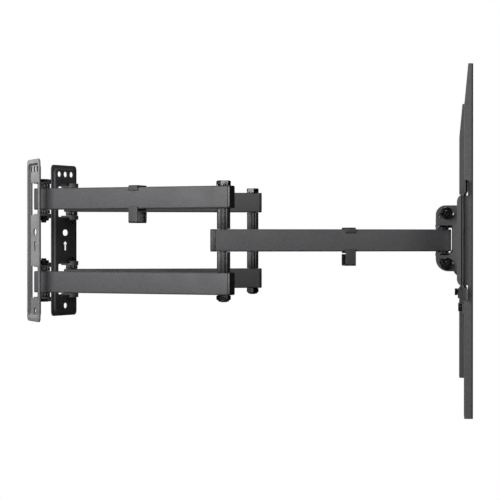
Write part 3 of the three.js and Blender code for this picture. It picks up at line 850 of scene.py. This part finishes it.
TILT = {"axis": pins["head_tilt"].x / MM, "sheet": 2.5, "front": 593.7, "travel": 10.0}
TILT |= {"nose": 562.2, "spine": 585.1, "top": 47.2, "bottom": -41.7, "top_round": 13, "bottom_round": 17}
MOUTH = {"top": 20, "bottom": -19.8, "top_round": 3, "bottom_round": 8}
STRIP = {"sheet": 2.2, "from_middle": 25}


def arc_slot(height):
    """A slot centred on the tilt axis that runs through a tilt bolt."""
    across, half = TILT_BOLT["x"] - TILT["axis"], BOLT_BORE
    reach, middle = math.hypot(across, height), math.degrees(math.atan2(height, across))
    low, high = middle - TILT["travel"], middle + TILT["travel"]
    centre = (TILT["axis"], 0)
    return [
        *arc(centre, reach + half, low, high),
        *arc(arc(centre, reach, high, high, 1)[0], half, high, high + 180)[1:-1],
        *arc(centre, reach - half, high, low),
        *arc(arc(centre, reach, low, low, 1)[0], half, low + 180, low + 360)[1:-1],
    ]


def tilt_cheek(side):
    """One C-shaped cheek."""
    nose, spine = TILT["nose"], TILT["spine"]
    top, bottom = TILT["top_round"], TILT["bottom_round"]
    inner_top, inner_bottom = MOUTH["top_round"], MOUTH["bottom_round"]
    outline = [
        (TILT["front"], TILT["top"]),
        *arc((nose + top, TILT["top"] - top), top, 90, 180, 16),
        (nose, MOUTH["top"]),
        *arc((spine - inner_top, MOUTH["top"] - inner_top), inner_top, 90, 0, 6),
        *arc((spine - inner_bottom, MOUTH["bottom"] + inner_bottom), inner_bottom, 0, -90, 10),
        (nose, MOUTH["bottom"]),
        *arc((nose + bottom, TILT["bottom"] + bottom), bottom, 180, 270, 16),
        (TILT["front"], TILT["bottom"]),
    ]
    low, high = sorted([side * CHEEK_Y, side * (CHEEK_Y + TILT["sheet"])])
    return prism(outline, low, high, "Y", [arc_slot(TILT_BOLT["upper"]), arc_slot(TILT_BOLT["lower"])])


half = CHEEK_Y + 1
parts = [tilt_cheek(side) for side in SIDES.values()]
for low, high in ((STRIP["from_middle"], TILT["top"]), (TILT["bottom"], -STRIP["from_middle"])):
    flat = [(-half, low), (half, low), (half, high), (-half, high)]
    parts.append(prism(flat, TILT["front"] - STRIP["sheet"], TILT["front"], "X"))
bracket = make("tilt_bracket_cheeks", parts, Matrix.Scale(MM, 4))
hand_over(bracket, "tilt", "powder_coat", "tilt_bracket")

# ---- Tilt bolts ----
# Four M8 bolts clamp the cheeks: a round head inside, and a broad washer and hex nut outside.

CLAMP = {"disc": 8.2, "disc_thickness": 1.6, "head": 7.2, "head_height": 4.4, "nut_top": 8.0, "tip": 10}
inside, outside = CHEEK_Y - YOKE["sheet"] - 2 * GAP, CHEEK_Y + TILT["sheet"] + GAP
disc_top = outside + CLAMP["disc_thickness"]
disc = [(CLAMP["disc"], outside), (CLAMP["disc"], disc_top - 0.5)]
disc += [(CLAMP["disc"] - 0.5, disc_top), (6.0, disc_top)]
head_low = inside - CLAMP["head_height"]
head = [(CLAMP["head"] - 1, head_low), (CLAMP["head"], head_low + 1), (CLAMP["head"], inside)]
stem = [(3.99, inside - 1), (3.99, outside + CLAMP["tip"] - 0.8), (3.2, outside + CLAMP["tip"])]

for side, sign in SIDES.items():
    for level in LEVELS:
        parts = [
            lathe(head, 48),
            lathe(disc, 64),
            hexagon(M8["flats"], outside + 1.2, outside + CLAMP["nut_top"]),
            lathe(stem, 32),
        ]
        lay = Matrix.Rotation(math.radians(90) * -sign, 4, "X")
        at = Matrix.Scale(MM, 4) @ Matrix.Translation((TILT_BOLT["x"], 0, TILT_BOLT[level])) @ lay
        bolt = make(f"tilt_bolt_clamped_{side}_{level}", parts, at, 0, zinc)
        hand_over(smooth(bolt, 25), "head", "black_zinc", f"tilt_bolt_{side}_{level}")

# ---- Television plate ----
# A long roll-formed channel of 2.4 mm steel whose two lips carry the brackets. It is welded to the tilt
# bracket, has slots for lightness, and its ends are closed by small folded walls. Powder coated.

TV_PLATE = {"half": 322.0, "back": 594.0, "front": 602.0, "sheet": 2.4, "wall": 58.0, "lip": 73.0}
TV_PLATE["bend"] = 5.0
TV_END = {"stand": 5.2, "round": 10.0, "let_in": 1.0}
TV_SLOTS = {"width": 36, "height": 9, "radius": 4.4, "across": (-265, -205, 205, 265), "up": (-28, 28)}
TV_WINDOWS = {"width": 46, "height": 60, "radius": 8, "across": (-150, 150)}


def cut(base, cutters):
    """A part with the cutters taken out of it."""
    objects = []
    for bm in (base, *cutters):
        mesh = bpy.data.meshes.new("scrap")
        bm.to_mesh(mesh)
        bm.free()
        objects.append(bpy.data.objects.new("scrap", mesh))
        link(objects[-1])
    for tool in objects[1:]:
        step = objects[0].modifiers.new("cut", "BOOLEAN")
        step.object = tool
        step.solver = "EXACT"
    dg = bpy.context.evaluated_depsgraph_get()
    result = bmesh.new()
    result.from_mesh(objects[0].evaluated_get(dg).to_mesh())
    for scrap in objects:
        bpy.data.objects.remove(scrap)
    return result


inner = TV_PLATE["front"] - TV_PLATE["sheet"] / 2
back = TV_PLATE["back"] + TV_PLATE["sheet"] / 2
shelf = TV_PLATE["wall"] - TV_PLATE["sheet"] / 2
channel = [(inner, TV_PLATE["lip"]), (inner, shelf), (back, shelf)]
channel += [(x, -z) for x, z in reversed(channel)]
middle_bend = TV_PLATE["bend"] - TV_PLATE["sheet"] / 2
profile = strip(bent(channel, middle_bend), TV_PLATE["sheet"])
rolled = prism(profile, -TV_PLATE["half"], TV_PLATE["half"], "Y")
through = (TV_PLATE["back"] - 5, TV_PLATE["back"] + 6)
cutters = []
for y in TV_SLOTS["across"]:
    for z in TV_SLOTS["up"]:
        slot = rounded(TV_SLOTS["width"], TV_SLOTS["height"], TV_SLOTS["radius"], (y, z))
        cutters.append(prism(slot, *through, "X"))
for y in TV_WINDOWS["across"]:
    window = rounded(TV_WINDOWS["width"], TV_WINDOWS["height"], TV_WINDOWS["radius"], (y, 0))
    cutters.append(prism(window, *through, "X"))
parts = [cut(rolled, cutters)]
for side in SIDES.values():
    low, high = sorted([side * (TV_PLATE["half"] - TV_PLATE["sheet"]), side * TV_PLATE["half"]])
    round_x = TV_PLATE["back"] - TV_END["stand"] + TV_END["round"]
    round_z = TV_PLATE["wall"] - TV_END["let_in"] - TV_END["round"]
    upper = arc((round_x, round_z), TV_END["round"], 110, 180)
    lower = [(x, -z) for x, z in reversed(upper)]
    parts.append(prism([*upper, *lower], low, high, "Y"))
plate = make("television_plate_channel", parts, Matrix.Scale(MM, 4), 0.4)
hand_over(plate, "tilt", "powder_coat", "tv_plate")

# ---- Television brackets ----
# Two tall channels of 2.2 mm steel, punched with the standard television screw pattern, tapered at the top
# and notched so that they hook over the plate's lips. They slide along the plate to suit the television.

BRACKET = {"y": 300.0, "top": 216.5, "bottom": -218.5, "half": 14.5, "sheet": 2.2, "bend": 1.8}
TAPER = {"depth": 4.6, "length": 52, "over": 4}
PUNCHED = {"count": 5, "pitch": 50, "length": 30, "width": 8.6, "depth": 12.0}
ROUND_HOLES = {"radius": 4.3, "up": (-200, 200)}
bracket_low, bracket_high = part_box("tv_bracket_near")
BRACKET["back"], BRACKET["front"] = bracket_low.x / MM, bracket_high.x / MM


def slot_tree():
    """A column of punched slots, as solid cutters: one rounded slot set on every point of a line."""
    inputs = {"Count": 5.0, "Pitch": 50.0, "Length": 30.0, "Width": 8.6, "Depth": 12.0}
    tree, given = open_tree("slot_column", inputs)
    rise = add(tree, "ShaderNodeCombineXYZ", {}, {"Z": given["Pitch"]})
    steps = add(tree, "ShaderNodeMath", {"operation": "SUBTRACT", 1: 1.0}, {0: given["Count"]})
    half = add(tree, "ShaderNodeMath", {"operation": "MULTIPLY", 1: -0.5}, {0: steps.outputs[0]})
    start = add(
        tree,
        "ShaderNodeVectorMath",
        {"operation": "SCALE"},
        {0: rise.outputs["Vector"], "Scale": half.outputs[0]},
    )
    step = {"Start Location": start.outputs["Vector"], "Offset": rise.outputs["Vector"]}
    line = add(tree, "GeometryNodeMeshLine", {"mode": "OFFSET"}, {"Count": given["Count"], **step})
    shape = add(
        tree,
        "GeometryNodeCurvePrimitiveQuadrilateral",
        {},
        {"Width": given["Width"], "Height": given["Length"]},
    )
    tip = add(tree, "ShaderNodeMath", {"operation": "MULTIPLY", 1: 0.495}, {0: given["Width"]})
    soft = add(
        tree,
        "GeometryNodeFilletCurve",
        {"mode": "POLY", "Count": 8, "Limit Radius": True},
        {"Curve": shape.outputs["Curve"], "Radius": tip.outputs[0]},
    )
    flat = add(tree, "GeometryNodeFillCurve", {"mode": "NGONS"}, {"Curve": soft.outputs["Curve"]})
    raised = add(
        tree,
        "GeometryNodeExtrudeMesh",
        {"mode": "FACES", "Individual": False},
        {"Mesh": flat.outputs["Mesh"], "Offset Scale": given["Depth"]},
    )
    under = add(tree, "GeometryNodeFlipFaces", {}, {"Mesh": flat.outputs["Mesh"]})
    both = tree.nodes.new("GeometryNodeJoinGeometry")
    tree.links.new(raised.outputs["Mesh"], both.inputs["Geometry"])
    tree.links.new(under.outputs["Mesh"], both.inputs["Geometry"])
    joined = {"Geometry": both.outputs["Geometry"]}
    sealed = add(tree, "GeometryNodeMergeByDistance", {"Distance": 0.01}, joined)
    stood = add(
        tree,
        "GeometryNodeTransform",
        {"Rotation": (math.pi / 2, 0, math.pi / 2)},
        {"Geometry": sealed.outputs["Geometry"]},
    )
    column = add(
        tree,
        "GeometryNodeInstanceOnPoints",
        {},
        {"Points": line.outputs["Mesh"], "Instance": stood.outputs["Geometry"]},
    )
    return close_tree(tree, column.outputs["Instances"], given)


slot_column = slot_tree()


def punches():
    """The cutters for one column of slots, set through the bracket's face."""
    size = {key.capitalize(): float(value) for key, value in PUNCHED.items()}
    piece = grow("punches", slot_column, size, powder_coat)
    bm = bmesh.new()
    bm.from_mesh(piece.data)
    bpy.data.objects.remove(piece)
    bmesh.ops.translate(bm, verts=bm.verts, vec=(BRACKET["front"] - PUNCHED["depth"] / 2, 0, 0))
    bmesh.ops.recalc_face_normals(bm, faces=bm.faces)
    return bm


def tv_bracket():
    """A channel standing upright, with its broad face towards the television."""
    face, flange = BRACKET["front"] - BRACKET["sheet"] / 2, BRACKET["half"] - BRACKET["sheet"] / 2
    path = [(BRACKET["back"], flange), (face, flange), (face, -flange), (BRACKET["back"], -flange)]
    profile = strip(bent(path, BRACKET["bend"]), BRACKET["sheet"])
    blank = prism(profile, BRACKET["bottom"], BRACKET["top"], "Z")
    wide = (-BRACKET["half"] - 2, BRACKET["half"] + 2)
    back, top = BRACKET["back"], BRACKET["top"]
    taper = [
        (back - TAPER["over"], top + TAPER["over"]),
        (back + TAPER["depth"], top + TAPER["over"]),
        (back + TAPER["depth"], top - 2),
        (back - 0.1, top - TAPER["length"]),
        (back - TAPER["over"], top - TAPER["length"]),
    ]
    cutters = [prism(taper, *wide, "Y")]
    hook_low = TV_PLATE["wall"] - TV_PLATE["sheet"] - 2 * GAP
    hook_high = TV_PLATE["lip"] + 2 * GAP
    for up in LEVELS.values():
        middle = (back - 2 + TV_PLATE["front"] + 2 * GAP) / 2
        width = TV_PLATE["front"] + 2 * GAP - back + 2
        notch = rounded(width, hook_high - hook_low, 0.9, (middle, up * (hook_low + hook_high) / 2), 3)
        cutters.append(prism(notch, *wide, "Y"))
    cutters.append(punches())
    for z in ROUND_HOLES["up"]:
        hole = ring((0, z), ROUND_HOLES["radius"], 32)
        cutters.append(prism(hole, BRACKET["front"] - 6, BRACKET["front"] + 6, "X"))
    return cut(blank, cutters)


for side, sign in SIDES.items():
    at = Matrix.Scale(MM, 4) @ Matrix.Translation((0, sign * BRACKET["y"], 0))
    bracket = make(f"television_bracket_channel_{side}", [tv_bracket()], at, 0.4)
    hand_over(bracket, f"bracket_{side}", "powder_coat", f"tv_bracket_{side}")

# ---- Lock tabs and screws ----
# A small folded tab inside each bracket's foot, and a thumb-sized screw through it that draws the bracket
# tight under the plate's lower lip.

LOCK = {"height": 15.5, "middle": -84.25, "corner": 2.5, "sheet": 2.4, "foot": -92, "bore": 3.3}
LOCK["screw_z"] = -82.0
SCREW = {"radius": 3, "head": 5.4, "head_height": 4.7, "length": 10}
for side, sign in SIDES.items():
    at = Matrix.Scale(MM, 4) @ Matrix.Translation((0, sign * BRACKET["y"], 0))
    reach = BRACKET["half"] - BRACKET["sheet"] - GAP
    tab_face = rounded(2 * reach, LOCK["height"], LOCK["corner"], (0, LOCK["middle"]))
    back = BRACKET["back"]
    bore = ring((0, LOCK["screw_z"]), LOCK["bore"], 32)
    parts = [prism(tab_face, back + 0.2 - LOCK["sheet"], back + 0.2, "X", [bore])]
    front = BRACKET["front"] - BRACKET["sheet"] - GAP
    foot = [(back - 0.8, -reach), (front, -reach), (front, reach), (back - 0.8, reach)]
    parts.append(prism(foot, LOCK["foot"], LOCK["foot"] + LOCK["sheet"], "Z"))
    tab = make(f"lock_tab_folded_{side}", parts, at, 0.4)
    hand_over(tab, f"bracket_{side}", "powder_coat", f"lock_tab_{side}")
    turned = at @ Matrix.Translation((0, 0, LOCK["screw_z"])) @ Matrix.Rotation(math.radians(90), 4, "Y")
    top = back - 2.5
    low, radius = top - SCREW["head_height"], SCREW["head"]
    head = [(3.0, low), (radius - 0.5, low), (radius, low + 0.6), (radius, top - 0.5), (radius - 0.5, top)]
    stem = shank(SCREW["radius"], top - 1, top + SCREW["length"])
    screw = make(f"lock_screw_turned_{side}", [lathe(head, 48), stem], turned, 0, zinc)
    hand_over(smooth(screw, 25), f"bracket_{side}", "black_zinc", f"lock_screw_{side}")

# ---- Floor, light and camera ----
# A plain white floor below the mount, a large soft lamp before it to the left, another behind it to the
# left, and weaker ones to the right and above. The surround looks white and lights the steel very little.

FLOOR_HALF = 30  # metres
FLOOR_DROP = 0.18  # metres below the mount
corners = [(x * FLOOR_HALF, y * FLOOR_HALF, 0) for x, y in ((-1, -1), (1, -1), (1, 1), (-1, 1))]
floor_mesh = bpy.data.meshes.new("floor")
floor_mesh.from_pydata(corners, [], [(0, 1, 2, 3)])
floor = bpy.data.objects.new("pale_floor", floor_mesh)
link(floor)
floor.location = (0, 0, cad_box[0].z - FLOOR_DROP)
white, tree, place = start_material("white_floor_paint")
paint = add(tree, "ShaderNodeBsdfDiffuse", {"Color": srgb("6e6e6e")}, {})
glow = add(tree, "ShaderNodeEmission", {"Color": srgb("ffffff"), "Strength": 1.0}, {})
ray = add(tree, "ShaderNodeLightPath", {}, {})
even = tree.nodes.new("ShaderNodeMixShader")
tree.links.new(ray.outputs["Is Camera Ray"], even.inputs[0])
tree.links.new(paint.outputs[0], even.inputs[1])
tree.links.new(glow.outputs[0], even.inputs[2])
add(tree, "ShaderNodeOutputMaterial", {}, {"Surface": even.outputs[0]})
floor_mesh.materials.append(white)

world = bpy.data.worlds.new("white_surround")
bpy.context.scene.world = world
world.use_nodes = True
tree = world.node_tree
tree.nodes.clear()
seen = add(tree, "ShaderNodeBackground", {"Color": (1, 1, 1, 1), "Strength": 1.0}, {})
fill = add(tree, "ShaderNodeBackground", {"Color": (1, 1, 1, 1), "Strength": 0.015}, {})
path = add(tree, "ShaderNodeLightPath", {}, {})
mix = tree.nodes.new("ShaderNodeMixShader")
tree.links.new(path.outputs["Is Camera Ray"], mix.inputs[0])
tree.links.new(fill.outputs[0], mix.inputs[1])
tree.links.new(seen.outputs[0], mix.inputs[2])
add(tree, "ShaderNodeOutputWorld", {}, {"Surface": mix.outputs[0]})


def lamp(name, place, target, size, power):
    """A soft rectangular lamp aimed at a point."""
    light = bpy.data.lights.new(name, "AREA")
    light.shape = "RECTANGLE"
    light.size, light.size_y = size
    light.energy = power
    holder = bpy.data.objects.new(name, light)
    link(holder)
    holder.location = place
    holder.rotation_euler = (Vector(target) - Vector(place)).to_track_quat("-Z", "Y").to_euler()


lamp("key", (-0.3, -1.25, 0.35), (0.15, -0.1, 0.0), (0.9, 0.9), 21)
lamp("rim", (-1.3, 0.6, 0.4), (0.0, 0.0, 0.0), (1.0, 1.0), 17)
lamp("fill", (1.1, -2.4, 0.5), (0.0, 0.1, 0.0), (0.5, 0.5), 14)
lamp("top", (0.1, 0.2, 1.6), (0.1, 0.0, 0.0), (0.8, 0.8), 8)

camera = bpy.data.objects.new("camera", bpy.data.cameras.new("camera"))
link(camera)
camera.data.sensor_width = 36
camera.data.lens = 117.36
camera.location = (0.5721, -2.3245, 0.0)
camera.rotation_euler = (math.radians(90 - 0.338), 0, math.radians(6.755))
bpy.context.scene.camera = camera
bpy.context.scene.view_settings.view_transform = "Standard"
